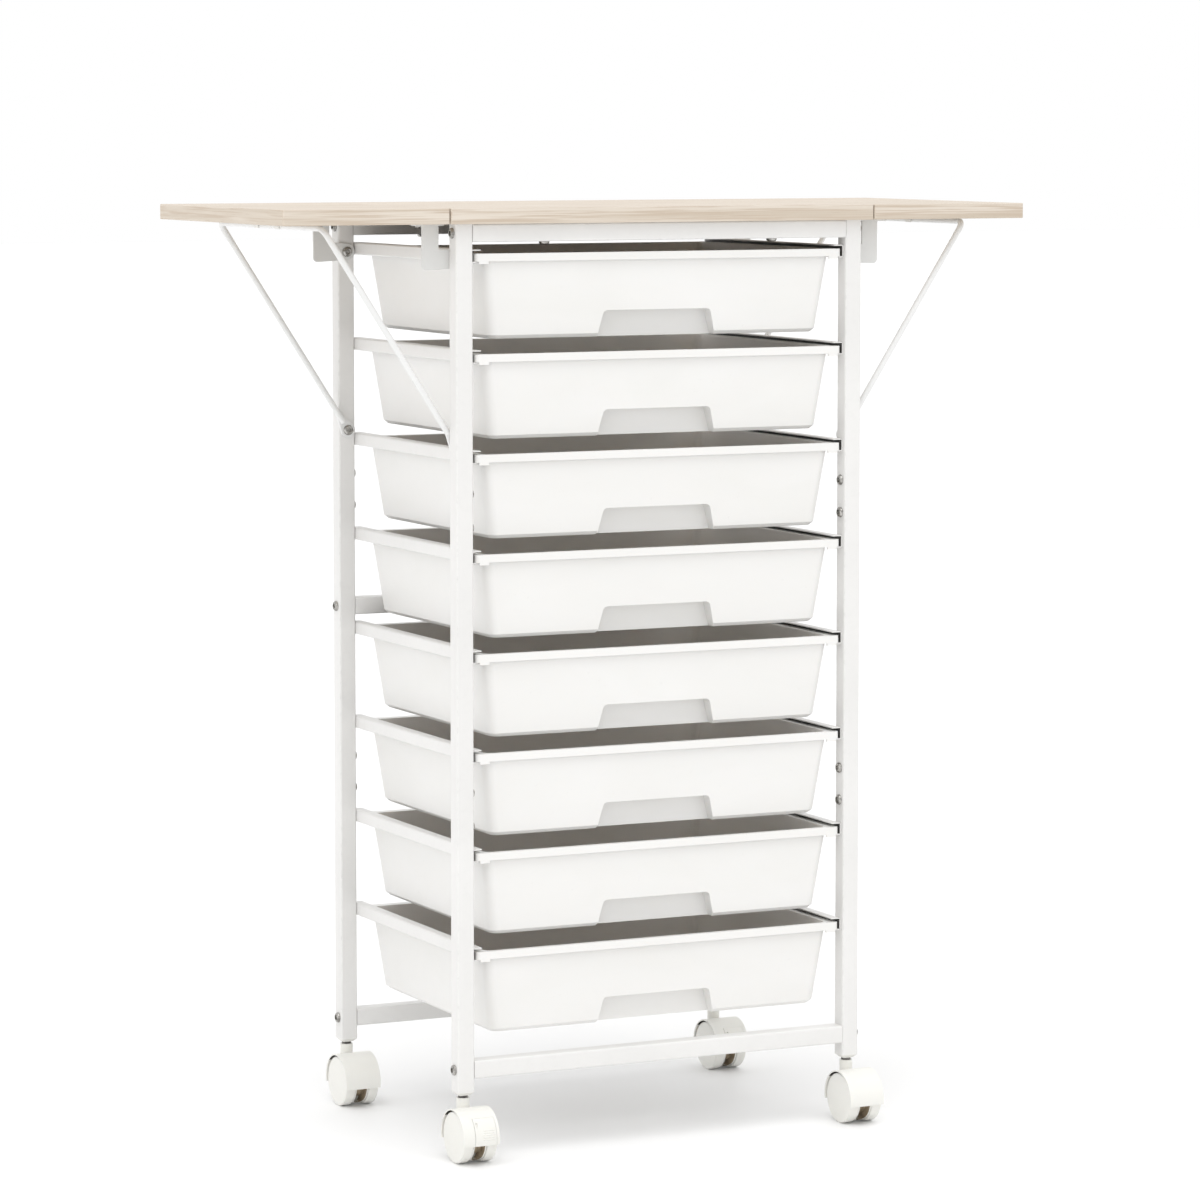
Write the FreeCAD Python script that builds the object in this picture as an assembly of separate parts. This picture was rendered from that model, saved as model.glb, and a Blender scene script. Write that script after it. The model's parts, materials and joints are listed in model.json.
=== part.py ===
import FreeCAD, Part
import math
import os

# Rolling drawer cart: a steel tube frame on four twin-wheel casters, with eight tub drawers
# in channel rails, and a table of one fixed board and two drop leaves held up by wire struts.
# Millimetres, +Z up, the front of the cart towards -Y, the floor at Z = 0.
# The model is drawn about the middle of the frame, and save() moves it so that the origin
# is at the bottom centre of the whole cart.

V = FreeCAD.Vector
UP = V(0, 0, 1)
RIGHT = V(1, 0, 0)
BACK = V(0, 1, 0)

# Frame of square tube
frame_width = 438.0          # over the posts, left to right
frame_depth = 310.0          # over the posts, front to back
tube = 17.5                  # outside of the square tube
tube_wall = 1.2
tube_corner_radius = 2.0
bottom_bar_rise = 12.0       # foot of the posts' tube to the underside of the bottom bars
bottom_drawer_gap = 23.0     # bottom bars to the lowest drawer
middle_bar_rise = 7.4        # top of the rail below it to the rear middle bar's underside
middle_bar_rail = 4          # that rail, counted from 0 at the top
nut_plate = 6.0              # thick plate with the thread in each end of a cross bar

# Rails, one pair to each drawer
drawer_count = 8
drawer_gap = 14.0            # a drawer's bottom to the rim of the next one down
first_rail_drop = 24.6       # frame's top to the top of the first rail
rail_height = 12.6
rail_width = 10.5
rail_sheet = 1.2
rail_bend_radius = 2.0
seam_above_rail = 38.6       # top of the first rail of a length of post to the seam above it
section_names = ["upper", "middle", "lower"]
section_drawers = 3          # drawers beside each of the upper and middle lengths of post

# Drawers, moulded tubs with a rim that rides in the rails
rim_side_gap = 2.6           # rim to the rail's web
rim_front_inset = 2.5        # rim behind the front of the posts
rim_rear_inset = 9.5         # rim in front of the back of the posts
rim_height = 7.4
rim_thickness = 2.0
rim_corner_radius = 4.0
slide_gap = 0.1              # under the rim, over the rail's lower flange
rim_side_overhang = 9.2      # the tub's side wall to the rim's outside
rim_front_overhang = 3.5
rim_rear_overhang = 10.0
drawer_height = 82.0
side_taper = 11.0            # each side wall leans in by this from the rim to the bottom
end_taper = 9.0              # the front and rear walls too
drawer_wall = 2.0
drawer_corner_radius = 10.0
bottom_chamfer = 3.5
recess_top_width = 115.0     # finger recess at the bottom of the front
recess_bottom_width = 127.5
recess_height = 25.6
recess_depth = 12.0
recess_corner_radius = 5.0
stop_tab_width = 10.0        # tabs under the rim's front that meet the rails' front ends
stop_tab_depth = 2.4
stop_tab_height = 2.5
stop_tab_offset = 3.7        # rim's outside to the tab
stop_gap = 0.3

# Table
board_overhang = 9.0         # centre board past the posts, all round
leaf_width = 170.2
leaf_gap = 1.0
board_thickness = 15.0
board_corner_radius = 2.0

# Hinge plates of the leaves, which turn on screws in the sides of the posts
hinge_drop = 34.0            # underside of the boards to the hinge's axis
plate_sheet = 2.0
plate_gap = 0.2              # plate to the post
plate_arm_start = 19.0       # hinge axis to the arm, outwards
plate_arm_width = 17.4
plate_eye_radius = 8.4       # small enough to clear the top rail as it turns
plate_foot_top = 9.8         # foot's height above the axis, where it meets the arm
plate_foot_bottom = 10.2     # and below it, at the outer corner
plate_corner_radius = 4.5
flange_length = 29.0
flange_depth = 14.0

# Wire struts of the leaves
strut_wire = 6.0
strut_length = 250.7         # pivot to the middle of the cross wire
strut_lean = 33.1            # degrees from upright, with the leaf up
strut_bend_radius = 10.0     # to the middle of the wire
strut_gap = 0.3              # eye to the post
strut_rest_gap = 0.3         # cross wire to the leaf's underside
eye_thickness = 3.0          # the wire's ends are pressed flat
eye_radius = 7.5
eye_neck_length = 16.0       # pivot to where the flat end is as narrow as the wire
eye_wire_start = 9.0         # pivot to the end of the round wire

# Screws, all alike in head and thread
screw_diameter = 6.0
screw_head_diameter = 10.5
screw_head_top_diameter = 6.8
screw_head_height = 3.0
screw_gap = 0.1              # shank to its hole, and a pivot's head to what turns under it
pivot_screw_bite = 8.0       # past the post's face
seam_screw_offset = 16.1     # above and below each seam
table_screw_spread = 246.0   # between the screws under one top bar
table_screw_bite = 10.0      # into the board

# Joint sleeves in the posts at the seams, and plugs in the posts' feet
insert_gap = 0.1             # to the inside of the tube, each side
sleeve_length = 60.0
sleeve_wall = 3.0
plug_cap_height = 4.0
plug_cap_chamfer = 3.0
plug_body_height = 16.0

# Casters
wheel_diameter = 50.0
wheel_width = 11.3
web_width = 13.4             # solid middle of the housing, between the wheels
wheel_web_gap = 0.4
caster_trail = 17.5          # swivel axis to the axle, towards the front
hood_gap = 1.2               # wheel to the inside of the hood
hood_wall = 1.4
hood_side_cover = 0.35       # hood's edge past the wheel's outer face
hood_edge_drop = 4.8         # hood's lower edge below the axle
tongue_floor_gap = 1.5       # lowest point of the housing above the floor
pocket_wall = 1.2            # around the open pocket in the front of the tongue
pocket_floor_radius = 16.5
neck_diameter = 12.8
neck_rise = 34.5             # axle to the top of the neck
neck_foot = 7.0              # axle to where the neck starts, inside the web
stem_diameter = 9.5
stem_gap = 0.05              # stem to its bores
stem_show = 2.5              # bare stem between neck and plug
stem_in_plug = 19.0
axle_diameter = 5.0
axle_gap = 0.05              # axle to its bores
axle_length = 30.0
bore_end_gap = 0.3

# Brake lever on the front of a hood
lever_left = 6.5             # from the middle of the caster to the lever's left edge
lever_right = 15.5
lever_inner_gap = 1.0        # wheel to the lever
lever_thickness = 2.4
lever_top_angle = 48.0       # degrees above the axle's level
lever_gap = 0.3              # around the lever, in the hood's window
brake_casters = ["front_left", "rear_right"]

# Places that follow from these sizes
axle_z = wheel_diameter / 2
neck_top = axle_z + neck_rise
foot_z = neck_top + stem_show + plug_cap_height
rail_pitch = drawer_height + drawer_gap
rim_rise = rim_height + slide_gap - (rail_height - rail_sheet)
drawer_drop = drawer_height - rim_rise
lowest_rail_z = foot_z + bottom_bar_rise + tube + bottom_drawer_gap + drawer_drop
frame_top = lowest_rail_z + (drawer_count - 1) * rail_pitch + first_rail_drop
table_depth = frame_depth + 2 * board_overhang
centre_board_width = frame_width + 2 * board_overhang
post_x = (frame_width - tube) / 2
post_y = (frame_depth - tube) / 2
post_inner_x = frame_width / 2 - tube
post_facing_y = frame_depth / 2 - tube
seam_z = []
for first_drawer in (section_drawers, 2 * section_drawers):
    seam_z.append(frame_top - first_rail_drop - first_drawer * rail_pitch + seam_above_rail)
section_levels = [frame_top, seam_z[0], seam_z[1], foot_z]
top_bar_z = frame_top - tube
bottom_bar_z = foot_z + bottom_bar_rise
middle_bar_z = frame_top - first_rail_drop - middle_bar_rail * rail_pitch + middle_bar_rise
rail_end_inset = rim_front_inset + stop_tab_depth + stop_gap
rim_half_width = post_inner_x - rail_sheet - rim_side_gap
rim_front = -frame_depth / 2 + rim_front_inset
rim_rear = frame_depth / 2 - rim_rear_inset
hinge_z = frame_top - hinge_drop
strut_rise = strut_length * math.cos(math.radians(strut_lean))
strut_z = frame_top - strut_rest_gap - strut_wire / 2 - strut_rise
insert_size = tube - 2 * tube_wall - 2 * insert_gap
screw_hole = screw_diameter / 2 + screw_gap
wheel_inner_x = web_width / 2 + wheel_web_gap
hood_inner_radius = wheel_diameter / 2 + hood_gap
hood_radius = hood_inner_radius + hood_wall
hood_half_width = wheel_inner_x + wheel_width + hood_side_cover
clear_of_hood = 2 * hood_radius   # far enough for a cutter to pass right through
lever_inner_radius = wheel_diameter / 2 + lever_inner_gap
lever_radius = lever_inner_radius + lever_thickness
front_reach = post_y + caster_trail + max(lever_radius, hood_radius)
rear_reach = max(table_depth / 2, post_y - caster_trail + hood_radius)
to_origin = V(0, (front_reach - rear_reach) / 2, 0)

# Corners by name: the side in X and the end in Y
corners = {
    "front_left": (-1, -1),
    "front_right": (1, -1),
    "rear_left": (-1, 1),
    "rear_right": (1, 1),
}
# Cross bars by name: the end in Y and the height of the underside
bars = {
    "front_top_apron": (-1, top_bar_z),
    "rear_top_bar": (1, top_bar_z),
    "rear_middle_bar": (1, middle_bar_z),
    "front_bottom_bar": (-1, bottom_bar_z),
    "rear_bottom_bar": (1, bottom_bar_z),
}


# Helpers

def box(x0, x1, y0, y1, z0, z1):
    return Part.makeBox(x1 - x0, y1 - y0, z1 - z0, V(x0, y0, z0))


def rod(start, direction, radius, length):
    return Part.makeCylinder(radius, length, start, direction)


def level(z):
    """Places a drawn pair of coordinates in a level plane."""
    return lambda a, b: V(a, b, z)


def upright(y):
    """Places a drawn pair of coordinates in a plane that faces the front."""
    return lambda a, b: V(a, y, b)


def outline(points, place):
    """A closed wire through (a, b, radius) points, where radius rounds that corner."""
    starts = []
    middles = []
    ends = []
    for i in range(len(points)):
        a, b, radius = points[i]
        here = V(a, b, 0)
        to_before = (V(points[i - 1][0], points[i - 1][1], 0) - here).normalize()
        following = points[(i + 1) % len(points)]
        to_after = (V(following[0], following[1], 0) - here).normalize()
        half_angle = to_before.getAngle(to_after) / 2
        run = radius / math.tan(half_angle)
        inwards = (to_before + to_after).normalize()
        starts.append(here + to_before * run)
        middles.append(here + inwards * (radius / math.sin(half_angle) - radius))
        ends.append(here + to_after * run)
    edges = []
    for i in range(len(points)):
        start, middle, end = [place(p.x, p.y) for p in (starts[i], middles[i], ends[i])]
        if points[i][2] > 0:
            edges.append(Part.Arc(start, middle, end).toShape())
        following = starts[(i + 1) % len(points)]
        line_end = place(following.x, following.y)
        if end.distanceToPoint(line_end) > 0.001:
            edges.append(Part.makeLine(end, line_end))
    return Part.Wire(edges)


def rounded_rectangle(x0, x1, y0, y1, radius, place):
    points = [(x0, y0, radius), (x1, y0, radius), (x1, y1, radius), (x0, y1, radius)]
    return outline(points, place)


def slab(wire, travel):
    return Part.Face(wire).extrude(travel)


def save(node, solids):
    """Writes one node, of one solid or of a group of separate ones."""
    placed = [solid.translated(to_origin) for shape in solids for solid in shape.Solids]
    shape = placed[0] if len(placed) == 1 else Part.makeCompound(placed)
    shape.exportStep("parts/" + node + ".step")


# Screws: each is its seat on a face, the way it goes in and its length

def bar_screws():
    screws = []
    for end, z in bars.values():
        for side in (-1, 1):
            seat = V(side * frame_width / 2, end * post_y, z + tube / 2)
            screws.append((seat, RIGHT * -side, tube + nut_plate))
    return screws


def seam_screws():
    screws = []
    for side, end in corners.values():
        for z in seam_z:
            for offset in (-seam_screw_offset, seam_screw_offset):
                seat = V(side * post_inner_x, end * post_y, z + offset)
                screws.append((seat, RIGHT * side, tube_wall + insert_gap + sleeve_wall))
    return screws


def pivot_screws():
    screws = []
    for side, end in corners.values():
        for z, gap, sheet in ((hinge_z, plate_gap, plate_sheet), (strut_z, strut_gap, eye_thickness)):
            grip = gap + sheet + screw_gap
            seat = V(side * post_x, end * (post_facing_y - grip), z)
            screws.append((seat, BACK * end, grip + pivot_screw_bite))
    return screws


def table_screws():
    screws = []
    for end in (-1, 1):
        for side in (-1, 1):
            seat = V(side * table_screw_spread / 2, end * post_y, top_bar_z)
            screws.append((seat, UP, tube + table_screw_bite))
    return screws


all_screws = bar_screws() + seam_screws() + pivot_screws() + table_screws()


def screw(seat, direction, length):
    """A button-head screw: a tapered head on the face and a plain shank."""
    head = Part.makeCone(screw_head_top_diameter / 2, screw_head_diameter / 2, screw_head_height,
                         seat - direction * screw_head_height, direction)
    return head.fuse(rod(seat, direction, screw_diameter / 2, length)).removeSplitter()


def drill(shape):
    """Cuts the holes of every screw that reaches into the shape."""
    holes = []
    limits = shape.BoundBox
    for seat, direction, length in all_screws:
        hole = rod(seat, direction, screw_hole, length)
        if limits.intersect(hole.BoundBox):
            holes.append(hole)
    return shape.cut(holes) if holes else shape


# Frame

def post_section(side, end, z0, z1):
    x = side * post_x
    y = end * post_y
    half = tube / 2
    bore = half - tube_wall
    wire = rounded_rectangle(x - half, x + half, y - half, y + half, tube_corner_radius, level(z0))
    post = slab(wire, UP * (z1 - z0))
    post = post.cut(box(x - bore, x + bore, y - bore, y + bore, z0, z1))
    return drill(post)


def cross_bar(end, z0):
    """A length of the tube between two posts, with a threaded plate in each end."""
    y = end * post_y
    half = tube / 2
    bore = half - tube_wall
    inside = post_inner_x - nut_plate

    def side_on(a, b):
        return V(-post_inner_x, a, b)

    wire = rounded_rectangle(y - half, y + half, z0, z0 + tube, tube_corner_radius, side_on)
    bar = slab(wire, RIGHT * (2 * post_inner_x))
    bar = bar.cut(box(-inside, inside, y - bore, y + bore, z0 + tube_wall, z0 + tube - tube_wall))
    return drill(bar)


def rail(side, index):
    """A folded channel, open towards the drawers, on the inner faces of two posts."""
    web = side * post_inner_x
    lip = side * (post_inner_x - rail_width)
    inside = side * (post_inner_x - rail_sheet)
    top = frame_top - first_rail_drop - index * rail_pitch
    bottom = top - rail_height
    front = -frame_depth / 2 + rail_end_inset
    profile = [
        (lip, bottom, 0),
        (web, bottom, rail_bend_radius),
        (web, top, rail_bend_radius),
        (lip, top, 0),
        (lip, top - rail_sheet, 0),
        (inside, top - rail_sheet, 0),
        (inside, bottom + rail_sheet, 0),
        (lip, bottom + rail_sheet, 0),
    ]
    return slab(outline(profile, upright(front)), BACK * (frame_depth - 2 * rail_end_inset))


def joint_sleeve(side, end, seam):
    x = side * post_x
    y = end * post_y
    half = insert_size / 2
    bore = half - sleeve_wall
    z0 = seam - sleeve_length / 2
    z1 = seam + sleeve_length / 2
    sleeve = box(x - half, x + half, y - half, y + half, z0, z1)
    sleeve = sleeve.cut(box(x - bore, x + bore, y - bore, y + bore, z0, z1))
    return drill(sleeve)


def foot_plug(side, end):
    """A moulded plug with a chamfered cap under the tube and a socket for the caster's stem."""
    x = side * post_x
    y = end * post_y
    sections = []
    for inset, z in ((plug_cap_chamfer, foot_z - plug_cap_height),
                     (0, foot_z - plug_cap_height + plug_cap_chamfer),
                     (0, foot_z)):
        half = tube / 2 - inset
        sections.append(rounded_rectangle(x - half, x + half, y - half, y + half,
                                          tube_corner_radius, level(z)))
    half = insert_size / 2
    body = box(x - half, x + half, y - half, y + half, foot_z, foot_z + plug_body_height)
    plug = Part.makeLoft(sections, True, True).fuse(body)
    bore_height = plug_cap_height + plug_body_height
    bore = rod(V(x, y, foot_z - plug_cap_height), UP, stem_diameter / 2 + stem_gap, bore_height)
    return plug.cut(bore)


# Drawers

def tub_section(rim_top, depth, inset):
    """The tub's level outline at some depth below its rim, drawn in by inset."""
    share = depth / drawer_height
    half = rim_half_width - rim_side_overhang - side_taper * share - inset
    front = rim_front + rim_front_overhang + end_taper * share + inset
    rear = rim_rear - rim_rear_overhang - end_taper * share - inset
    radius = drawer_corner_radius - min(inset, drawer_wall)
    return rounded_rectangle(-half, half, front, rear, radius, level(rim_top - depth))


def tub(rim_top, inset, bottom_depth):
    """A solid tapered tub, chamfered around its bottom."""
    sections = [
        tub_section(rim_top, 0, inset),
        tub_section(rim_top, bottom_depth - bottom_chamfer, inset),
        tub_section(rim_top, bottom_depth, inset + bottom_chamfer),
    ]
    return Part.makeLoft(sections, True, True)


def recess_block(bottom, grown):
    """The space of the finger recess, open at the front and below, grown by a wall."""
    half_top = recess_top_width / 2 + grown
    half_bottom = recess_bottom_width / 2 + grown
    top = bottom + recess_height + grown
    front = rim_front
    back = rim_front + rim_front_overhang + end_taper + recess_depth + grown
    radius = recess_corner_radius + grown
    points = [
        (-half_bottom, bottom, 0),
        (half_bottom, bottom, 0),
        (half_top, top, radius),
        (-half_top, top, radius),
    ]
    return slab(outline(points, upright(front)), BACK * (back - front))


def drawer():
    """The top drawer; the others are copies of it, lower down."""
    rail_floor = frame_top - first_rail_drop - rail_height + rail_sheet
    rim_bottom = rail_floor + slide_gap
    rim_top = rim_bottom + rim_height
    bottom = rim_top - drawer_height
    body = tub(rim_top, 0, drawer_height).cut(recess_block(bottom, 0))
    inside = tub(rim_top, drawer_wall, drawer_height - drawer_wall)
    inside = inside.cut(recess_block(bottom, drawer_wall))

    rim_wire = rounded_rectangle(-rim_half_width, rim_half_width, rim_front, rim_rear,
                                 rim_corner_radius, level(rim_bottom))
    rim = slab(rim_wire, UP * rim_height)
    skirt_half = rim_half_width - rim_thickness
    hollow_wire = rounded_rectangle(-skirt_half, skirt_half, rim_front + rim_thickness,
                                    rim_rear - rim_thickness, rim_corner_radius - rim_thickness,
                                    level(rim_bottom))
    rim = rim.cut(slab(hollow_wire, UP * (rim_height - rim_thickness)))

    tabs = []
    for side in (-1, 1):
        outer = side * (rim_half_width - stop_tab_offset)
        inner = outer - side * stop_tab_width
        tabs.append(box(min(outer, inner), max(outer, inner), rim_front, rim_front + stop_tab_depth,
                        rim_bottom - stop_tab_height, rim_bottom))
    return rim.fuse([body] + tabs).cut(inside).removeSplitter()


# Table

def board(x0, x1):
    half = table_depth / 2
    wire = rounded_rectangle(x0, x1, -half, half, board_corner_radius, level(frame_top))
    return slab(wire, UP * board_thickness)


def hinge_plate(side, end):
    """A sheet plate that turns on the side of a post, with a flange bent under the leaf."""
    axis_x = side * post_x
    arm_inner = plate_arm_start
    arm_outer = plate_arm_start + plate_arm_width
    face = end * (post_facing_y - plate_gap)
    sheet = BACK * (-end * plate_sheet)
    points = [
        (0, plate_eye_radius, 0),
        (arm_inner, plate_foot_top, 0),
        (arm_inner, hinge_drop, 0),
        (arm_outer, hinge_drop, 0),
        (arm_outer, -plate_foot_bottom, plate_corner_radius),
        (0, -plate_eye_radius, 0),
    ]
    placed = [(axis_x + side * a, hinge_z + b, radius) for a, b, radius in points]
    plate = slab(outline(placed, upright(face)), sheet)
    axis = V(axis_x, face, hinge_z)
    plate = plate.fuse(rod(axis, sheet, plate_eye_radius, plate_sheet))
    middle = axis_x + side * (arm_inner + arm_outer) / 2
    inner_y = face - end * flange_depth
    flange = box(middle - flange_length / 2, middle + flange_length / 2, min(face, inner_y),
                 max(face, inner_y), frame_top - plate_sheet, frame_top)
    plate = plate.fuse(flange).cut(rod(axis, sheet, screw_hole, plate_sheet))
    return plate.removeSplitter()


def strut(side):
    """A bent wire, drawn upright with its eyes at the pivots, then leaned outwards."""
    radius = strut_wire / 2
    wire_y = post_facing_y - strut_gap - eye_thickness
    bend = strut_bend_radius
    shapes = [rod(V(0, bend - wire_y, strut_length), BACK, radius, 2 * (wire_y - bend))]
    for end in (-1, 1):
        outwards = BACK * (end * eye_thickness)
        arm = rod(V(0, end * wire_y, eye_wire_start), UP, radius,
                  strut_length - bend - eye_wire_start)
        circle = Part.Face(Part.Wire(Part.makeCircle(radius, V(0, end * wire_y, strut_length - bend), UP)))
        centre = V(0, end * (wire_y - bend), strut_length - bend)
        corner = circle.revolve(centre, RIGHT * end, 90)
        eye = rod(V(0, end * wire_y, 0), outwards, eye_radius, eye_thickness)
        neck = outline([(-eye_radius, 0, 0), (eye_radius, 0, 0), (radius, eye_neck_length, 0),
                        (-radius, eye_neck_length, 0)], upright(end * wire_y))
        shapes += [arm, corner, eye, slab(neck, outwards)]
    wire = shapes[0].fuse(shapes[1:])
    for end in (-1, 1):
        hole = rod(V(0, end * wire_y, 0), BACK * end, screw_hole, eye_thickness)
        wire = wire.cut(hole)
    wire = wire.removeSplitter()
    wire.rotate(V(0, 0, 0), BACK, side * strut_lean)
    return wire.translated(V(side * post_x, 0, strut_z))


# Casters, drawn about the swivel axis

def across(radius, x0, x1):
    """A cylinder along the axle."""
    return rod(V(x0, -caster_trail, axle_z), RIGHT, radius, x1 - x0)


def tongue_profile(half_width, lowest):
    """The round-ended front outline of the housing below the hood's edge."""
    edge = axle_z - hood_edge_drop
    front = -caster_trail - hood_radius
    points = [
        (-half_width, edge, 0),
        (-half_width, lowest, half_width),
        (half_width, lowest, half_width),
        (half_width, edge, 0),
    ]
    return outline(points, upright(front))


def lever_block(gap, inner, outer):
    """The brake lever's plate, or with a gap the window for it in the hood."""
    band = across(outer, -lever_left - gap, lever_right + gap)
    band = band.cut(across(inner, -lever_left - gap, lever_right + gap))
    top = math.radians(lever_top_angle) + gap / lever_radius
    bottom = axle_z - hood_edge_drop - gap
    width = lever_left + lever_right + 2 * gap
    far = -caster_trail - clear_of_hood
    slope_z = axle_z + clear_of_hood * math.tan(top)
    points = [
        (-caster_trail, axle_z),
        (far, slope_z),
        (far, bottom),
        (-caster_trail, bottom),
        (-caster_trail, axle_z),
    ]
    wedge = Part.makePolygon([V(-lever_left - gap, y, z) for y, z in points])
    return band.common(slab(wedge, RIGHT * width))


def caster_hood(braked):
    """The moulded housing: a round hood over both wheels, a web between them and a neck."""
    edge = axle_z - hood_edge_drop
    half = web_width / 2
    shell = across(hood_radius, -hood_half_width, hood_half_width)
    cavity_left = across(hood_inner_radius, -hood_half_width, -half)
    cavity_right = across(hood_inner_radius, half, hood_half_width)
    below = box(-hood_half_width, hood_half_width, -caster_trail - hood_radius,
                -caster_trail + hood_radius, axle_z - hood_radius, edge)
    shell = shell.cut([cavity_left, cavity_right, below])

    tongue_radius = axle_z - tongue_floor_gap
    deep = BACK * clear_of_hood
    tongue = slab(tongue_profile(half, tongue_floor_gap), deep)
    tongue = tongue.common(across(tongue_radius, -half, half))
    neck = rod(V(0, 0, axle_z + neck_foot), UP, neck_diameter / 2, neck_rise - neck_foot)
    hood = shell.fuse([tongue, neck])

    pocket_depth = BACK * hood_radius
    pocket = slab(tongue_profile(half - pocket_wall, tongue_floor_gap + pocket_wall), pocket_depth)
    pocket = pocket.cut(across(pocket_floor_radius, -half, half))
    stem_bore = rod(V(0, 0, axle_z + neck_foot), UP, stem_diameter / 2 + stem_gap,
                    neck_rise - neck_foot)
    axle_bore = across(axle_diameter / 2 + axle_gap, -half, half)
    hood = hood.cut([pocket, stem_bore, axle_bore])
    if braked:
        hood = hood.cut(lever_block(lever_gap, lever_inner_radius - lever_gap, clear_of_hood))
    return hood.removeSplitter()


def wheel(side):
    near = wheel_inner_x
    far = wheel_inner_x + wheel_width
    bore_end = axle_length / 2 + bore_end_gap
    disc = across(wheel_diameter / 2, min(side * near, side * far), max(side * near, side * far))
    bore = across(axle_diameter / 2 + axle_gap, min(side * near, side * bore_end),
                  max(side * near, side * bore_end))
    return disc.cut(bore)


def stem_and_axle():
    stem_length = neck_rise - neck_foot + stem_show + stem_in_plug
    stem = rod(V(0, 0, axle_z + neck_foot), UP, stem_diameter / 2, stem_length)
    axle = across(axle_diameter / 2, -axle_length / 2, axle_length / 2)
    return [stem, axle]


def build():
    for corner, (side, end) in corners.items():
        for i, section in enumerate(section_names):
            post = post_section(side, end, section_levels[i + 1], section_levels[i])
            save(corner + "_" + section + "_post", [post])
    for name, (end, z) in bars.items():
        save(name, [cross_bar(end, z)])
    for side_name, side in (("left", -1), ("right", 1)):
        for i, section in enumerate(section_names):
            first = i * section_drawers
            last = min(first + section_drawers, drawer_count)
            save(side_name + "_" + section + "_rails", [rail(side, n) for n in range(first, last)])
    top_drawer = drawer()
    for index in range(drawer_count):
        lowered = top_drawer.translated(UP * (-index * rail_pitch))
        save("drawer_" + str(index + 1), [lowered])

    half = centre_board_width / 2
    save("centre_top", [drill(board(-half, half))])
    save("left_leaf", [board(-half - leaf_gap - leaf_width, -half - leaf_gap)])
    save("right_leaf", [board(half + leaf_gap, half + leaf_gap + leaf_width)])
    for side_name, side in (("left", -1), ("right", 1)):
        save(side_name + "_strut", [strut(side)])
        save(side_name + "_hinge_plates", [hinge_plate(side, end) for end in (-1, 1)])

    hoods = {braked: caster_hood(braked) for braked in (False, True)}
    for corner, (side, end) in corners.items():
        place = V(side * post_x, end * post_y, 0)
        braked = corner in brake_casters
        save(corner + "_caster_hood", [hoods[braked].translated(place)])
        for wheel_name, wheel_side in (("left", -1), ("right", 1)):
            save(corner + "_" + wheel_name + "_wheel", [wheel(wheel_side).translated(place)])
        save(corner + "_stem_and_axle", [pin.translated(place) for pin in stem_and_axle()])
        if braked:
            lever = lever_block(0, lever_inner_radius, lever_radius)
            save(corner + "_brake_lever", [lever.translated(place)])

    inserts = []
    for side, end in corners.values():
        inserts.append(foot_plug(side, end))
        inserts += [joint_sleeve(side, end, z) for z in seam_z]
    save("post_inserts", inserts)
    save("frame_screws", [screw(*each) for each in all_screws])


os.makedirs("parts", exist_ok=True)
build()
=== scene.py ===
import json
import math

import bmesh
import bpy
from mathutils import Matrix, Vector

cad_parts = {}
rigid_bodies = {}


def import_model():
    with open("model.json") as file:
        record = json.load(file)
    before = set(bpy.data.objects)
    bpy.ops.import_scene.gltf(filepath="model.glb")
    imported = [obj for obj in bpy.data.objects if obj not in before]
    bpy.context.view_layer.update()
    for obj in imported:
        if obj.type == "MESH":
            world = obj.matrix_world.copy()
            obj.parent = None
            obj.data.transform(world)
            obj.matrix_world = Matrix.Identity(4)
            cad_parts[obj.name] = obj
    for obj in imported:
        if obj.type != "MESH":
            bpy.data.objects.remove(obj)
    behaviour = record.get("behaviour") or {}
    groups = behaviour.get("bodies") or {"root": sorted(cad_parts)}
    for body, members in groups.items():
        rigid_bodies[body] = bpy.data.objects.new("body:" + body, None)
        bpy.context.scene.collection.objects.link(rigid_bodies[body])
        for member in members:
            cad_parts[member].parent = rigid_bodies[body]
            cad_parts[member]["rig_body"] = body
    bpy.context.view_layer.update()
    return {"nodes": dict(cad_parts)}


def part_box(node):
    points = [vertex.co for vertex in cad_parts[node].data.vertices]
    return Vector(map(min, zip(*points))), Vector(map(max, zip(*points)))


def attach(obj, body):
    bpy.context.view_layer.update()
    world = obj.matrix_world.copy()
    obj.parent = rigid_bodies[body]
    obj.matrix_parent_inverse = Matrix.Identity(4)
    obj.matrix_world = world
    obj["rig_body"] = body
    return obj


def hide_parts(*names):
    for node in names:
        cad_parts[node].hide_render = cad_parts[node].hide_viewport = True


# Looks of the rolling drawer cart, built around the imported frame. Metres, the front towards -Y.

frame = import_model()
MM = 0.001
CORNERS = ("front_left", "front_right", "rear_left", "rear_right")
SIDES = ("left", "right")
SECTIONS = ("upper", "middle", "lower")
BARS = ("front_top_apron", "rear_top_bar", "rear_middle_bar", "front_bottom_bar",
        "rear_bottom_bar")
DRAWER_COUNT = 8
BRAKED_CORNERS = ("front_left", "rear_right")

# Rounding of the edges, by piece
POST_EDGE = 0.35 * MM
BAR_EDGE = 0.3 * MM
RAIL_EDGE = 0.25 * MM
INSERT_EDGE = 0.4 * MM
BOARD_EDGE = 0.9 * MM
SHEET_EDGE = 0.4 * MM
DRAWER_EDGE = 0.7 * MM
HOOD_EDGE = 0.5 * MM
PIN_EDGE = 0.3 * MM
LEVER_EDGE = 0.25 * MM
CLIP_EDGE = 0.3 * MM
HARD_EDGE_ANGLE = 28            # degrees, above which an edge is rounded
CURVED_EDGE_ANGLE = 50          # the same on pieces whose curves are made of wide steps
CLOSE_POINTS = 0.0003 * MM      # joined after the rounding
SAME_POINT = 2e-6               # metres, joined before it
FLAT_WITHIN = 0.6               # degrees

# Sockets of Blender's colour mix node
MIX_SHARE = 0
MIX_FIRST = 6
MIX_SECOND = 7
MIX_RESULT = 2

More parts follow.
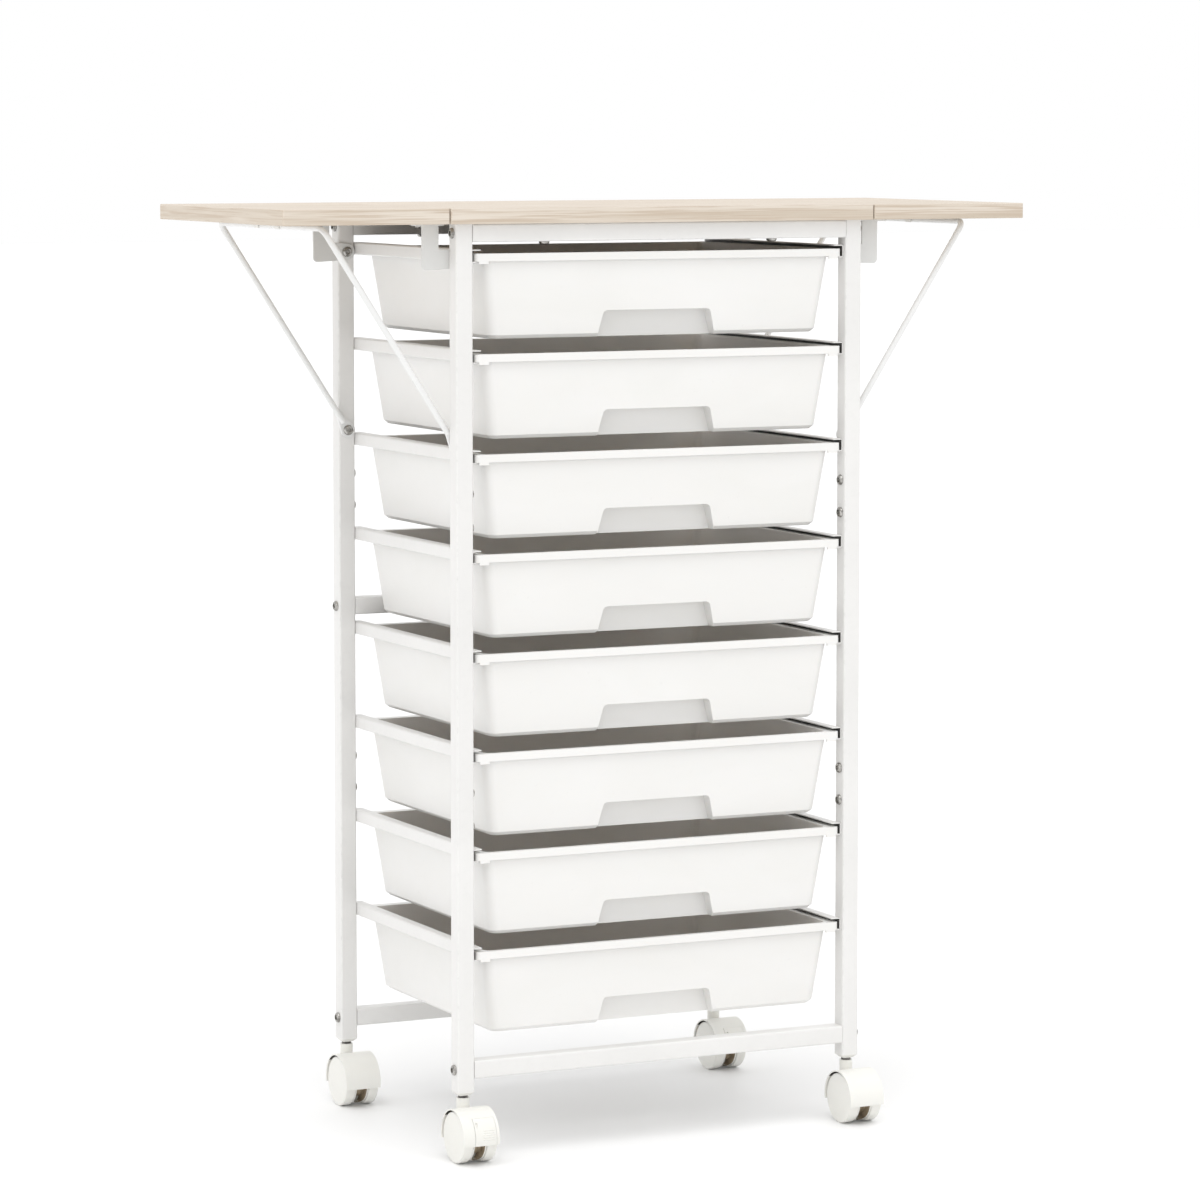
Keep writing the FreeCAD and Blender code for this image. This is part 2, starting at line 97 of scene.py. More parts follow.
# Faces that take a second material, by how squarely they face along an axis
# The rails' backs that face inwards take the painted shade
RAIL_BACK_FACING = 0.9
SMALLEST_RAIL_BACK = 2000 * MM * MM  # area
BOARD_END_FACING = 0.8

# Frame screws
SCREW_SIDES = 36
HEAD_RADIUS = 5.25 * MM
HEAD_HEIGHT = 3.0 * MM
HEAD_RIM = 0.35 * MM
SHANK_RADIUS = 3.0 * MM
SHANK_CHAMFER = 0.5 * MM
SOCKET_MOUTH = 2.75 * MM
SOCKET_HALF_WIDTH = 2.3 * MM
SOCKET_LIP = 0.25 * MM
SOCKET_DEPTH = 1.9 * MM
DOME_STEPS = 8
DOME_TOP_SHARE = 0.52           # the dome's radius at its top over that at its foot
DOME_FULLNESS = 0.9             # the lower, the sooner the dome rises
SCREW_SHARP_ANGLE = 35          # degrees

# Table fittings
FLANGE_THICKNESS = 2.0 * MM
FLANGE_HALF = 14.5 * MM         # from a hinge plate's outer edge to the middle of its flange
FLANGE_SCREW_INSET = 7.0 * MM   # from the plates' front and rear ends
FLANGE_SCREW_SPREAD = 9.0 * MM  # either side of the flange's middle
WOOD_SCREW_SIDES = 24
WOOD_SCREW_TIP = 3.0 * MM       # into the leaf
WOOD_SCREW_SHANK = 1.8 * MM     # radius
WOOD_SCREW_HEAD = 3.5 * MM      # radius
WOOD_SCREW_HEAD_HEIGHT = 1.5 * MM
WOOD_SCREW_RECESS = 1.0 * MM    # radius at its mouth
WOOD_SCREW_RECESS_LEAN = 0.1 * MM
WOOD_SCREW_RECESS_FLOOR = 0.6 * MM  # from the flange
WIRE_RADIUS = 3.0 * MM
CLIP_PLACES = (41 * MM, -13 * MM)
CLIP_HALF = 6.0 * MM
CLIP_INNER = 3.15 * MM
CLIP_OUTER = 4.4 * MM
CLIP_OPENING = 84               # degrees, downwards
CLIP_STEPS = 14

# Drawers: where a tub's inside begins, and the room that its finger recess takes
TUB_SIDE_INSET = 10 * MM
TUB_FRONT_INSET = 4 * MM
RIM_THICKNESS = 0.5 * MM
RECESS_HALF_WIDTH = 66 * MM
RECESS_HEIGHT = 27 * MM
RECESS_DEPTH = 26 * MM

# Casters, measured from the axle
POCKET_HALF_WIDTH = 5.6 * MM
POCKET_FLOOR = 16.2 * MM
POCKET_MOUTH = 23.2 * MM
POCKET_TOP = -4.4 * MM
POCKET_FRONT = -4 * MM
FACING_DOWN = -0.98             # a face's upward share, below which it is the tongue's underside
FACING_AXLE = -0.5              # a face's outward share, below which it faces the axle
# Painted shade in the gap between each wheel and the hood, by place about the axle
GAP_SHADE_START = 6.75 * MM
GAP_SHADE_INNER = 26.0 * MM
GAP_SHADE_OUTER = 26.9 * MM
GAP_SHADE_SHARE = 0.72             # the height over the reach above which the gap over the wheel takes painted shade
WHEEL_SIDES = 72
WHEEL_INNER_ROUND = 1.6 * MM
WHEEL_OUTER_ROUND = 1.5 * MM
WHEEL_CROWN = 0.7 * MM
ROUND_STEPS = 4
CROWN_STEPS = 5
CROWN_SPAN = 5.5                # steps from the middle of the face to its edge
WHEEL_SHARP_ANGLE = 40          # degrees
TREAD_DEPTH = 1.0 * MM

# Brake lever
LEVER_THICKNESS = 2.4 * MM
RIB_HEIGHT = 0.45 * MM
RIB_COUNT = 5
RIB_LOWEST = 2.5                # degrees above the axle's level
RIB_PITCH = 4.6                 # degrees
RIB_FOOT = 1.1                  # degrees, half a rib at its foot
RIB_TOP = 0.5                   # degrees, half a rib at its top
RIB_LEFT = 8.6 * MM             # from the lever's left edge
RIB_RIGHT = 1.8 * MM            # from the lever's right edge
SLOT_LEFT = 1.6 * MM
SLOT_WIDTH = 2.3 * MM
SLOT_BOTTOM = 27.0              # degrees
SLOT_TOP = 38.0                 # degrees
SLOT_DEPTH = 1.3 * MM
SLOT_FLANK = 1                  # degrees
SLOPE = 0.5 * MM                # the run of a rib's or the slot's flank
PLAIN_EDGE = 0.8 * MM           # a column of small faces along each side
PLAIN_COLUMN = 5.5 * MM
PLAIN_ROWS = (-6, -2.5, 24, 31, 34, 41, 44.5)  # degrees, where the plate only curves

# Studio
FLOOR_REACH = 30.0
FLOOR_DULL = (0.90, 0.90, 0.90, 1)
FLOOR_BRIGHT = (0.91, 0.91, 0.91, 1)
SURROUND_COLOUR = (1.0, 1.0, 1.0, 1)
SURROUND_STRENGTH = 1.0
SUN_POWER = 1.0
SUN_SPREAD = 50                 # degrees
SUN_DIRECTION = (0.12, 0.30, -0.94)
KEY_PLACE = (-2.7, -2.7, 3.9)
KEY_TARGET = (0, 0, 0.5)
KEY_SIZE = 3.6
KEY_POWER = 8
FILL_PLACE = (-4.2, -1.0, 1.0)
FILL_TARGET = (0, 0, 0.45)
FILL_SIZE = 3.0
FILL_POWER = 11

# Camera, placed from the photograph's own lines
CAMERA_PLACE = (-2.0167, -4.199325, 1.006)
CAMERA_YAW = 25.652             # degrees
CAMERA_PITCH = 4.782            # degrees
CAMERA_SENSOR = 36
CAMERA_LENS = 140.25
CAMERA_SHIFT = -0.08
CAMERA_REACH = 100              # metres, past which nothing is drawn


# Material helpers

def colour(red, green, blue):
    """Linear colour from 0 to 255 values."""
    return tuple((channel / 255) ** 2.2 for channel in (red, green, blue)) + (1.0,)


class Surface:
    """One material being put together from nodes."""

    def __init__(self, name):
        self.material = bpy.data.materials.new(name)
        self.material.use_nodes = True
        self.tree = self.material.node_tree
        self.shader = self.tree.nodes["Principled BSDF"]
        self.place = self.add("ShaderNodeTexCoord").outputs["Object"]

    def add(self, kind, **values):
        """A new node, with its sockets or its settings as given."""
        node = self.tree.nodes.new(kind)
        for key, value in values.items():
            if key in node.inputs:
                node.inputs[key].default_value = value
            else:
                setattr(node, key, value)
        return node

    def link(self, source, target):
        """Joins an output socket to an input socket."""
        self.tree.links.new(source, target)

    def noise(self, scale, detail=2.0, stretch=(1, 1, 1), offset=(0, 0, 0), distortion=0.0):
        """A noise pattern in the piece's own coordinates."""
        placed = self.add("ShaderNodeMapping")
        placed.inputs["Scale"].default_value = stretch
        placed.inputs["Location"].default_value = offset
        self.link(self.place, placed.inputs["Vector"])
        node = self.add("ShaderNodeTexNoise", Scale=scale, Detail=detail, Distortion=distortion)
        self.link(placed.outputs["Vector"], node.inputs["Vector"])
        return node.outputs["Fac"]

    def ramp(self, value, *stops):
        """A colour that follows the value through (position, colour) stops."""
        node = self.add("ShaderNodeValToRGB")
        elements = node.color_ramp.elements
        while len(elements) < len(stops):
            elements.new(0.5)
        for element, (position, shade) in zip(elements, stops):
            element.position = position
            element.color = shade
        self.link(value, node.inputs["Fac"])
        return node.outputs["Color"]

    def spread(self, value, low, high, start=0.3, end=0.7):
        """The value's range from start to end, spread over low to high."""
        node = self.add("ShaderNodeMapRange")
        node.inputs["From Min"].default_value = start
        node.inputs["From Max"].default_value = end
        node.inputs["To Min"].default_value = low
        node.inputs["To Max"].default_value = high
        self.link(value, node.inputs["Value"])
        return node.outputs["Result"]

    def mix(self, share, first, second):
        """The first colour, mixed with the second one by the share."""
        node = self.add("ShaderNodeMix", data_type="RGBA", blend_type="MIX")
        for number, value in ((MIX_SHARE, share), (MIX_FIRST, first), (MIX_SECOND, second)):
            socket = node.inputs[number]
            if isinstance(value, bpy.types.NodeSocket):
                self.link(value, socket)
            else:
                socket.default_value = value
        return node.outputs[MIX_RESULT]

    def bump(self, height, strength, distance, normal=None):
        """The surface's normal, tipped by the height."""
        node = self.add("ShaderNodeBump", Strength=strength, Distance=distance)
        self.link(height, node.inputs["Height"])
        if normal is not None:
            self.link(normal, node.inputs["Normal"])
        return node.outputs["Normal"]

    def finish(self, base, roughness, normal, **constants):
        """Joins the three patterns to the shader, and gives the finished material."""
        self.link(base, self.shader.inputs["Base Color"])
        self.link(roughness, self.shader.inputs["Roughness"])
        self.link(normal, self.shader.inputs["Normal"])
        for key, value in constants.items():
            self.shader.inputs[key.replace("_", " ")].default_value = value
        return self.material


def powder_coat(name, bright, dull, roughness):
    """Baked paint: fine orange peel, a slow change of tone, and scuffs on the edges."""
    s = Surface(name)
    tone = s.ramp(s.noise(9, 3), (0.3, dull), (0.7, bright))
    edge = s.add("ShaderNodeNewGeometry").outputs["Pointiness"]
    scuffs = s.noise(150, 5, offset=(3, 1, 2))
    worn = s.add("ShaderNodeMath", operation="MULTIPLY")
    s.link(s.spread(edge, 0, 1, 0.53, 0.62), worn.inputs[0])
    s.link(s.spread(scuffs, 0, 0.35, 0.5, 0.7), worn.inputs[1])
    base = s.mix(worn.outputs[0], tone, tuple(0.72 * c for c in dull[:3]) + (1,))
    peel = s.bump(s.noise(1100, 1), 0.06, 0.0002)
    waves = s.bump(s.noise(90, 2), 0.05, 0.001, peel)
    rough = s.spread(s.noise(45, 4, offset=(5, 5, 5)), roughness - 0.05, roughness + 0.08)
    return s.finish(base, rough, waves, IOR=1.5)


def moulded(name, bright, dull, roughness, grain=1400, depth=0.08, glow=0.0, streaks=False):
    """Moulded plastic: a fine eroded grain, faint flow marks or streaks, and handling marks."""
    s = Surface(name)
    if streaks:
        flow = s.noise(420, 3, stretch=(1, 0.2, 0.2))
    else:
        flow = s.noise(6, 4, stretch=(1, 1, 2.5), distortion=0.6)
    tone = s.ramp(flow, (0.3, dull), (0.72, bright))
    marks = s.spread(s.noise(210, 6, offset=(2, 7, 4)), 0, 0.25, 0.66, 0.8)
    base = s.mix(marks, tone, tuple(0.85 * c for c in dull[:3]) + (1,))
    fine = s.bump(s.noise(grain, 2), depth, 0.0002)
    sink = s.bump(s.noise(22, 2), 0.04, 0.002, fine)
    rough = s.spread(s.noise(70, 5, offset=(1, 2, 3)), roughness - 0.05, roughness + 0.08)
    material = s.finish(base, rough, sink, IOR=1.49)
    s.shader.inputs["Subsurface Weight"].default_value = glow
    s.shader.inputs["Subsurface Scale"].default_value = 0.002
    s.shader.inputs["Subsurface Radius"].default_value = (1.0, 0.9, 0.8)
    return material


def plated(name, bright, dull, roughness):
    """Plated steel with fine turning marks and small cloudy spots."""
    s = Surface(name)
    tone = s.ramp(s.noise(260, 4), (0.35, dull), (0.65, bright))
    marks = s.bump(s.noise(2600, 2), 0.12, 0.0001)
    rough = s.spread(s.noise(500, 4), roughness - 0.06, roughness + 0.12)
    return s.finish(tone, rough, marks, Metallic=1.0)


def washed_oak(name, offset, turn=0.0):
    """Pale washed oak laminate: streaks, cathedral lines and pores along X, or turned from it."""
    s = Surface(name)
    turned_place = s.add("ShaderNodeMapping")
    turned_place.inputs["Rotation"].default_value = (0, 0, turn)
    s.link(s.place, turned_place.inputs["Vector"])
    s.place = turned_place.outputs["Vector"]
    light = colour(220, 211, 199)
    middle = colour(210, 199, 185)
    dark = colour(194, 181, 164)
    streaks = s.noise(6, 5, stretch=(0.35, 9, 16), offset=offset, distortion=0.3)
    tone = s.ramp(streaks, (0.28, dark), (0.48, middle), (0.72, light))
    placed = s.add("ShaderNodeMapping")
    placed.inputs["Scale"].default_value = (1.1, 9, 20)
    placed.inputs["Location"].default_value = offset
    s.link(s.place, placed.inputs["Vector"])
    rings = s.add("ShaderNodeTexWave", Scale=2.2, Distortion=7.0, Detail=3.0)
    rings.bands_direction = "Y"
    rings.inputs["Detail Scale"].default_value = 1.1
    s.link(placed.outputs["Vector"], rings.inputs["Vector"])
    lines = s.spread(rings.outputs["Fac"], 0, 0.5, 0.72, 1.0)
    figured = s.mix(lines, tone, dark)
    fine = s.noise(9, 5, stretch=(1.2, 70, 70), offset=offset)
    grained = s.mix(s.spread(fine, 0, 0.9, 0.47, 0.62), figured, colour(190, 174, 156))
    pores = s.noise(30, 2, stretch=(1.0, 26, 26), offset=offset)
    speckled = s.mix(s.spread(pores, 0, 0.45, 0.66, 0.76), grained, colour(172, 155, 138))
    relief = s.bump(fine, 0.10, 0.0006)
    pits = s.bump(pores, 0.12, -0.0005, relief)
    rough = s.spread(streaks, 0.46, 0.60)
    return s.finish(speckled, rough, pits, IOR=1.45)


frame_paint = powder_coat("frame_paint", colour(227, 226, 224), colour(222, 221, 219), roughness=0.38)
# Dark paint on the rails' channel backs: painted shade, standing in for the shade inside the channels
channel_painted_shade = powder_coat("channel_painted_shade", colour(92, 91, 89), colour(80, 79, 77), roughness=0.45)
strut_paint = powder_coat("strut_paint", colour(230, 230, 229), colour(225, 225, 224), roughness=0.32)
# A little darker than the frame paint: painted shade, standing in for the shade under the table
hinge_paint = powder_coat("hinge_paint", colour(217, 217, 215), colour(211, 211, 209), roughness=0.38)
drawer_plastic = moulded("drawer_plastic", colour(233, 232, 230), colour(229, 228, 225), roughness=0.36,
                         glow=0.12)
# A warmer tint on the tubs' insides: painted shade, standing in for the warm shade inside the drawers
drawer_inside_shade_tint = moulded("drawer_inside_shade_tint", colour(234, 230, 225), colour(230, 226, 220), roughness=0.42,
                        glow=0.12)
caster_plastic = moulded("caster_plastic", colour(232, 231, 226), colour(227, 226, 220), roughness=0.34,
                         grain=2200, depth=0.04, glow=0.1)
tread_plastic = moulded("tread_plastic", colour(226, 217, 200), colour(214, 203, 184), roughness=0.42,
                        grain=1500, depth=0.12)
insert_plastic = moulded("insert_plastic", colour(232, 231, 228), colour(222, 221, 217), roughness=0.40)
# Tan, streaked: painted shade for the inside of the pocket between a caster's wheels
pocket_painted_shade = moulded("pocket_painted_shade", colour(184, 168, 144), colour(128, 114, 94), roughness=0.55,
                         grain=700, depth=0.2, streaks=True)
# Dark grey: painted shade for the gap between the wheels and the hood
gap_painted_shade = moulded("gap_painted_shade", colour(70, 66, 62), colour(48, 45, 42), roughness=0.6)
screw_nickel = plated("screw_nickel", colour(190, 188, 184), colour(134, 132, 128), roughness=0.22)
# Dark grey for screw sockets and seats: painted shade, standing in for the shade in the hollows
socket_painted_shade = moulded("socket_painted_shade", colour(62, 60, 58), colour(34, 33, 32), roughness=0.5)
# Darker than plain plated steel: painted shade, standing in for the dark gap round the stem
pin_steel = plated("pin_steel", colour(120, 118, 115), colour(84, 82, 80), roughness=0.32)


# Mesh helpers

def add_piece(name, mesh, body, slot, *materials):
    """Links a piece that rides the body, with its materials; the finish that it is given is not used.
    """
    piece = bpy.data.objects.new(name, mesh)
    bpy.context.scene.collection.objects.link(piece)
    for material in materials:
        mesh.materials.append(material)
    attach(piece, body)
    return piece


def round_edges(piece, width, segments=2, angle=HARD_EDGE_ANGLE):
    """Rounds every edge sharper than the angle, and joins the points that end up together."""
    bevel = piece.modifiers.new("round_edges", "BEVEL")
    bevel.width = width
    bevel.segments = segments
    bevel.limit_method = "ANGLE"
    bevel.angle_limit = math.radians(angle)
    bevel.harden_normals = True
    bevel.miter_outer = "MITER_ARC"
    joined = piece.modifiers.new("join_close_points", "WELD")
    joined.merge_threshold = CLOSE_POINTS


def cleaned(node):
    """The node's mesh with its points joined and its flat parts made whole."""
    bm = bmesh.new()
    bm.from_mesh(frame["nodes"][node].data)
    bmesh.ops.remove_doubles(bm, verts=bm.verts, dist=SAME_POINT)
    bmesh.ops.dissolve_limit(bm, angle_limit=math.radians(FLAT_WITHIN), verts=bm.verts,
                             edges=bm.edges, use_dissolve_boundaries=False)
    return bm


def to_mesh(bm, name):
    """A smooth-shaded mesh from the bmesh, which is freed."""
    mesh = bpy.data.meshes.new(name)
    bm.to_mesh(mesh)
    bm.free()
    for attribute in ("custom_normal", "UVMap"):
        if attribute in mesh.attributes:
            mesh.attributes.remove(mesh.attributes[attribute])
    mesh.materials.clear()
    mesh.shade_smooth()
    return mesh


def body_of(node):
    """The name of the body that the node rides."""
    return frame["nodes"][node]["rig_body"]


def softened(node, width, slot, material, segments=2):
    """A piece over a node: its shape with every hard edge rounded."""
    mesh = to_mesh(cleaned(node), node + "_finished")
    piece = add_piece(node + "_finished", mesh, body_of(node), slot, material)
    round_edges(piece, width, segments)
    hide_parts(node)
    return piece


def islands(bm):
    """The separate solids of a mesh, as lists of vertices."""
    found = []
    seen = set()
    for start in bm.verts:
        if start in seen:
            continue
        seen.add(start)
        group = []
        waiting = [start]
        while waiting:
            vertex = waiting.pop()
            group.append(vertex)
            for edge in vertex.link_edges:
                other = edge.other_vert(vertex)
                if other not in seen:
                    seen.add(other)
                    waiting.append(other)
        found.append(group)
    return found


def turned(bm, profile, matrix, segments, second=()):
    """Turns (along, radius) points about the matrix's Z axis; the bands in second take slot 1."""
    rings = []
    for along, radius in profile:
        if radius == 0:
            rings.append([bm.verts.new(matrix @ Vector((0, 0, along)))])
            continue
        ring = []
        for i in range(segments):
            angle = 2 * math.pi * i / segments
            place = Vector((radius * math.cos(angle), radius * math.sin(angle), along))
            ring.append(bm.verts.new(matrix @ place))
        rings.append(ring)
    for band, (before, after) in enumerate(zip(rings, rings[1:])):
        for i in range(segments):
            j = (i + 1) % segments
            corners = [before[i % len(before)], before[j % len(before)],
                       after[j % len(after)], after[i % len(after)]]
            face = bm.faces.new(list(dict.fromkeys(corners)))
            face.material_index = 1 if band in second else 0
    return rings


def arc(along, radius, size, start, end, steps):
    """Profile points on an arc about (along, radius), from start to end degrees from +Z."""
    points = []
    for i in range(steps + 1):
        angle = math.radians(start + (end - start) * i / steps)
        points.append((along + size * math.cos(angle), radius + size * math.sin(angle)))
    return points


def facing(place, direction):
    """A matrix whose Z axis points along the direction, at the place."""
    return Matrix.Translation(place) @ direction.to_track_quat("Z", "Y").to_matrix().to_4x4()


# Frame

def finish_rails(node, side):
    """Painted rails, with painted shade on the channels' backs, which lie in the shade."""
    rails = softened(node, RAIL_EDGE, "frame_paint", frame_paint)
    rails.data.materials.append(channel_painted_shade)
    inwards = 1 if side == "left" else -1
    for polygon in rails.data.polygons:
        faces_inwards = polygon.normal.x * inwards > RAIL_BACK_FACING
        if faces_inwards and polygon.area > SMALLEST_RAIL_BACK:
            polygon.material_index = 1


for corner in CORNERS:
    for section in SECTIONS:
        softened(corner + "_" + section + "_post", POST_EDGE, "frame_paint", frame_paint)
for bar in BARS:
    softened(bar, BAR_EDGE, "frame_paint", frame_paint)
for side in SIDES:
    for section in SECTIONS:
        finish_rails(side + "_" + section + "_rails", side)
softened("post_inserts", INSERT_EDGE, "insert_plastic", insert_plastic)


# Screws: a domed head with a hexagon socket on each of the solids

def screw_seats(node):
    """Where each screw's head meets its seat, the way that it goes in, and its length."""
    bm = cleaned(node)
    seats = []
    for group in islands(bm):
        low = Vector([min(v.co[i] for v in group) for i in range(3)])
        high = Vector([max(v.co[i] for v in group) for i in range(3)])
        size = high - low
        axis = max(range(3), key=lambda i: min(abs(size[i] - size[j]) for j in range(3) if j != i))
        middle = (low + high) / 2
        flat = [i for i in range(3) if i != axis]
        widest = max(group, key=lambda v: math.hypot(*[v.co[i] - middle[i] for i in flat]))
        direction = Vector((0, 0, 0))
        direction[axis] = 1.0 if widest.co[axis] < middle[axis] else -1.0
        seat = middle.copy()
        seat[axis] = widest.co[axis]
        end = high[axis] if direction[axis] > 0 else low[axis]
        seats.append((seat, direction, abs(end - seat[axis])))
    bm.free()
    return seats


def hexagon(bm, matrix, along):
    """A ring of points round the socket's six sides, as many as the head has."""
    ring = []
    for i in range(SCREW_SIDES):
        angle = 2 * math.pi * i / SCREW_SIDES
        off_flat = (angle + math.pi / 6) % (math.pi / 3) - math.pi / 6
        reach = SOCKET_HALF_WIDTH / math.cos(off_flat)
        place = Vector((reach * math.cos(angle), reach * math.sin(angle), along))
        ring.append(bm.verts.new(matrix @ place))
    return ring


def add_screw(bm, seat, direction, length):
    """A shank, a domed head with a line of painted shade round its seat, and a hexagon socket with
    painted shade inside.
    """
    matrix = facing(seat, direction)
    profile = [(length, 0), (length, SHANK_RADIUS - SHANK_CHAMFER),
               (length - SHANK_CHAMFER, SHANK_RADIUS), (0.0, SHANK_RADIUS),
               (0.0, HEAD_RADIUS - HEAD_RIM), (-HEAD_RIM, HEAD_RADIUS)]
    for i in range(1, DOME_STEPS + 1):
        angle = math.radians(90) * i / DOME_STEPS
        share = DOME_TOP_SHARE + (1 - DOME_TOP_SHARE) * math.cos(angle)
        profile.append((-HEAD_HEIGHT * math.sin(angle) ** DOME_FULLNESS, HEAD_RADIUS * share))
    profile.append((-HEAD_HEIGHT, SOCKET_MOUTH))
    # The band under the head's rim takes the painted shade, a dark line round the seat
    seat_painted_shade = (4, 5)
    mouth = turned(bm, profile, matrix, SCREW_SIDES, seat_painted_shade)[-1]
    lip = hexagon(bm, matrix, SOCKET_LIP - HEAD_HEIGHT)
    bottom = hexagon(bm, matrix, SOCKET_DEPTH - HEAD_HEIGHT)
    # The socket's walls and floor take the painted shade
    for i in range(SCREW_SIDES):
        j = (i + 1) % SCREW_SIDES
        bm.faces.new([mouth[i], mouth[j], lip[j], lip[i]])
        bm.faces.new([lip[i], lip[j], bottom[j], bottom[i]]).material_index = 1
    bm.faces.new(bottom).material_index = 1


def finish_screws(node):
    """Screws in the places of the node's plain ones."""
    bm = bmesh.new()
    for seat, direction, length in screw_seats(node):
        add_screw(bm, seat, direction, length)
    bmesh.ops.recalc_face_normals(bm, faces=bm.faces)
    mesh = to_mesh(bm, node + "_finished")
    screws = add_piece(node + "_finished", mesh, body_of(node), "screw_nickel", screw_nickel,
                       socket_painted_shade)
    mesh.set_sharp_from_angle(angle=math.radians(SCREW_SHARP_ANGLE))
    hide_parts(node)


finish_screws("frame_screws")


# Table

def finish_board(node, offset):
    """A laminate board, its grain moved by the offset, and running along its end faces too."""
    board = softened(node, BOARD_EDGE, "table_wood", washed_oak("table_wood_" + node, offset), 3)
    board.data.materials.append(washed_oak("edge_band_" + node, offset, math.pi / 2))
    for polygon in board.data.polygons:
        if abs(polygon.normal.x) > BOARD_END_FACING:
            polygon.material_index = 1


def wood_screw_profile():
    """Half the outline of a pan-head screw: its tip, its shank, its head and its recess."""
    rounding = WOOD_SCREW_HEAD_HEIGHT
    profile = [(WOOD_SCREW_TIP, 0), (WOOD_SCREW_TIP, WOOD_SCREW_SHANK), (0, WOOD_SCREW_SHANK)]
    profile += arc(0, WOOD_SCREW_HEAD - rounding, rounding, 90, 180, ROUND_STEPS)
    profile.append((-WOOD_SCREW_HEAD_HEIGHT, WOOD_SCREW_RECESS))
    profile.append((-WOOD_SCREW_RECESS_FLOOR, WOOD_SCREW_RECESS - WOOD_SCREW_RECESS_LEAN))
    profile.append((-WOOD_SCREW_RECESS_FLOOR, 0))
    return profile


def leaf_screws(side):
    """Pan-head screws under the hinge flanges of a leaf."""
    low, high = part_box(side + "_hinge_plates")
    flange_x = high.x - FLANGE_HALF if side == "right" else low.x + FLANGE_HALF
    head_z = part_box(side + "_leaf")[0].z - FLANGE_THICKNESS
    profile = wood_screw_profile()
    bm = bmesh.new()
    for y in (low.y + FLANGE_SCREW_INSET, high.y - FLANGE_SCREW_INSET):
        for x in (flange_x - FLANGE_SCREW_SPREAD, flange_x + FLANGE_SCREW_SPREAD):
            matrix = facing(Vector((x, y, head_z)), Vector((0, 0, 1)))
            turned(bm, profile, matrix, WOOD_SCREW_SIDES)
    bmesh.ops.recalc_face_normals(bm, faces=bm.faces)
    mesh = to_mesh(bm, side + "_leaf_screws")
    add_piece(side + "_leaf_screws", mesh, side + "_leaf", "screw_nickel", screw_nickel)
    mesh.set_sharp_from_angle(angle=math.radians(SCREW_SHARP_ANGLE))


def add_clip(bm, place):
    """A springy C-shaped clip, open below, let into a leaf, that holds a strut's cross wire."""
    start = CLIP_OPENING / 2 - 90
    end = 270 - CLIP_OPENING / 2
    outline = arc(0, 0, CLIP_OUTER, start, end, CLIP_STEPS)
    outline += arc(0, 0, CLIP_INNER, end, start, CLIP_STEPS)
    front = [bm.verts.new(place + Vector((x, -CLIP_HALF, z))) for x, z in outline]
    rear = [bm.verts.new(place + Vector((x, CLIP_HALF, z))) for x, z in outline]
    last = len(outline) - 1
    for i in range(last + 1):
        j = (i + 1) % (last + 1)
        bm.faces.new([front[i], front[j], rear[j], rear[i]])
    for end_face in (front, rear):
        for i in range(CLIP_STEPS):
            bm.faces.new([end_face[i], end_face[i + 1], end_face[last - 1 - i], end_face[last - i]])


def leaf_clips(side):
    """The clips under a leaf, round the cross wire of its strut."""
    low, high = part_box(side + "_strut")
    wire_x = high.x - WIRE_RADIUS if side == "right" else low.x + WIRE_RADIUS
    bm = bmesh.new()
    for y in CLIP_PLACES:
        add_clip(bm, Vector((wire_x, y, high.z - WIRE_RADIUS)))
    bmesh.ops.recalc_face_normals(bm, faces=bm.faces)
    mesh = to_mesh(bm, side + "_leaf_clips")
    clips = add_piece(side + "_leaf_clips", mesh, side + "_leaf", "insert_plastic", insert_plastic)
    round_edges(clips, CLIP_EDGE, 2, CURVED_EDGE_ANGLE)


finish_board("centre_top", (0.3, 0.1, 0.2))
finish_board("left_leaf", (4.1, 1.7, 0.6))
finish_board("right_leaf", (7.7, 2.9, 1.3))
for side in SIDES:
    softened(side + "_hinge_plates", SHEET_EDGE, "hinge_paint", hinge_paint)
    softened(side + "_strut", SHEET_EDGE, "strut_paint", strut_paint)
    leaf_screws(side)
    leaf_clips(side)


# Drawers

def finish_drawer(node):
    """A moulded tub, with a warm painted shade tint on its inside, and its finger recess in the outer
    finish.
    """
    drawer = softened(node, DRAWER_EDGE, "drawer_plastic", drawer_plastic, 3)
    drawer.data.materials.append(drawer_inside_shade_tint)
    low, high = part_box(node)
    middle = (low + high) / 2
    mouth = Vector((middle.x, middle.y, high.z))
    for polygon in drawer.data.polygons:
        place = polygon.center
        inside = (low.x + TUB_SIDE_INSET < place.x < high.x - TUB_SIDE_INSET
                  and low.y + TUB_FRONT_INSET < place.y < high.y - TUB_SIDE_INSET
                  and place.z < high.z - RIM_THICKNESS)
        recess = (abs(place.x - middle.x) < RECESS_HALF_WIDTH and place.z < low.z + RECESS_HEIGHT
                  and place.y < low.y + RECESS_DEPTH)
        if inside and not recess and polygon.normal.dot(mouth - place) > 0:
            polygon.material_index = 1


for number in range(1, DRAWER_COUNT + 1):
    finish_drawer("drawer_" + str(number))


# Casters

